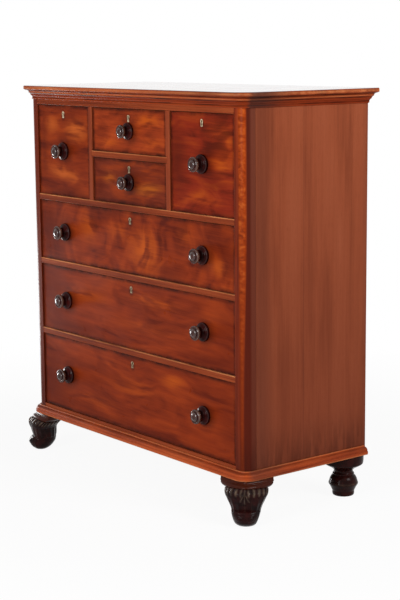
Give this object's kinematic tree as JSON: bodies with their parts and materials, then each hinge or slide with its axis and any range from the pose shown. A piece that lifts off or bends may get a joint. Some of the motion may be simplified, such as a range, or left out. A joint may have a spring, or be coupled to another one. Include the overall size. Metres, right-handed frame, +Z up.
{
  "type": "chest of drawers",
  "caption": "Tall mahogany chest of drawers with long, deep and small drawers, turned knobs, keyhole escutcheons, rounded corners, scroll front feet and turned rear feet.",
  "frame": {"origin": "on the floor, midway between the left and right sides and midway between the front of the knobs and the rear edge of the top", "axes": "+Z up, -Y out of the front of the drawers, +X to the right for someone facing the front"},
  "size_m": [1.2044, 0.536, 1.2558],
  "materials": {
    "figured_mahogany": "french polished, figured veneer",
    "mahogany": "french polished",
    "pine": "unfinished, darkened with age",
    "ebonised_wood": "black-brown gloss",
    "brass": "aged"
  },
  "bodies": {
    "carcase": {"top_board": "figured_mahogany", "cornice_moulding": "mahogany", "plinth_moulding": "mahogany", "corner_post_left": "mahogany", "corner_post_right": "mahogany", "side_panel_left": "mahogany", "side_panel_right": "mahogany", "back_panel": "pine", "base_frame": "mahogany", "drawer_frame_lower": "mahogany", "drawer_frame_middle": "mahogany", "drawer_frame_upper": "mahogany", "top_frame": "mahogany", "divider_left": "mahogany", "divider_right": "mahogany", "centre_frame": "mahogany", "foot_front_left": "ebonised_wood", "foot_front_right": "ebonised_wood", "foot_rear_left": "ebonised_wood", "foot_rear_right": "ebonised_wood"},
    "drawer_top_left": {"front_top_left": "figured_mahogany", "box_top_left": "pine", "escutcheon_top_left": "brass", "lock_top_left": "brass", "knob_top_left": "ebonised_wood"},
    "drawer_centre_upper": {"front_centre_upper": "figured_mahogany", "box_centre_upper": "pine", "escutcheon_centre_upper": "brass", "lock_centre_upper": "brass", "knob_centre_upper": "ebonised_wood"},
    "drawer_centre_lower": {"front_centre_lower": "figured_mahogany", "box_centre_lower": "pine", "escutcheon_centre_lower": "brass", "lock_centre_lower": "brass", "knob_centre_lower": "ebonised_wood"},
    "drawer_top_right": {"front_top_right": "figured_mahogany", "box_top_right": "pine", "escutcheon_top_right": "brass", "lock_top_right": "brass", "knob_top_right": "ebonised_wood"},
    "drawer_long_upper": {"front_long_upper": "figured_mahogany", "box_long_upper": "pine", "escutcheon_long_upper": "brass", "lock_long_upper": "brass", "knob_long_upper_left": "ebonised_wood", "knob_long_upper_right": "ebonised_wood"},
    "drawer_long_middle": {"front_long_middle": "figured_mahogany", "box_long_middle": "pine", "escutcheon_long_middle": "brass", "lock_long_middle": "brass", "knob_long_middle_left": "ebonised_wood", "knob_long_middle_right": "ebonised_wood"},
    "drawer_long_lower": {"front_long_lower": "figured_mahogany", "box_long_lower": "pine", "escutcheon_long_lower": "brass", "lock_long_lower": "brass", "knob_long_lower_left": "ebonised_wood", "knob_long_lower_right": "ebonised_wood"}
  },
  "joints": [
    {"name": "top_left_slide", "type": "slide", "parent": "carcase", "child": "drawer_top_left", "axis": [0, -1, 0], "range_m": [0, 0.36]},
    {"name": "centre_upper_slide", "type": "slide", "parent": "carcase", "child": "drawer_centre_upper", "axis": [0, -1, 0], "range_m": [0, 0.36]},
    {"name": "centre_lower_slide", "type": "slide", "parent": "carcase", "child": "drawer_centre_lower", "axis": [0, -1, 0], "range_m": [0, 0.36]},
    {"name": "top_right_slide", "type": "slide", "parent": "carcase", "child": "drawer_top_right", "axis": [0, -1, 0], "range_m": [0, 0.36]},
    {"name": "long_upper_slide", "type": "slide", "parent": "carcase", "child": "drawer_long_upper", "axis": [0, -1, 0], "range_m": [0, 0.36]},
    {"name": "long_middle_slide", "type": "slide", "parent": "carcase", "child": "drawer_long_middle", "axis": [0, -1, 0], "range_m": [0, 0.36]},
    {"name": "long_lower_slide", "type": "slide", "parent": "carcase", "child": "drawer_long_lower", "axis": [0, -1, 0], "range_m": [0, 0.36]}
  ]
}
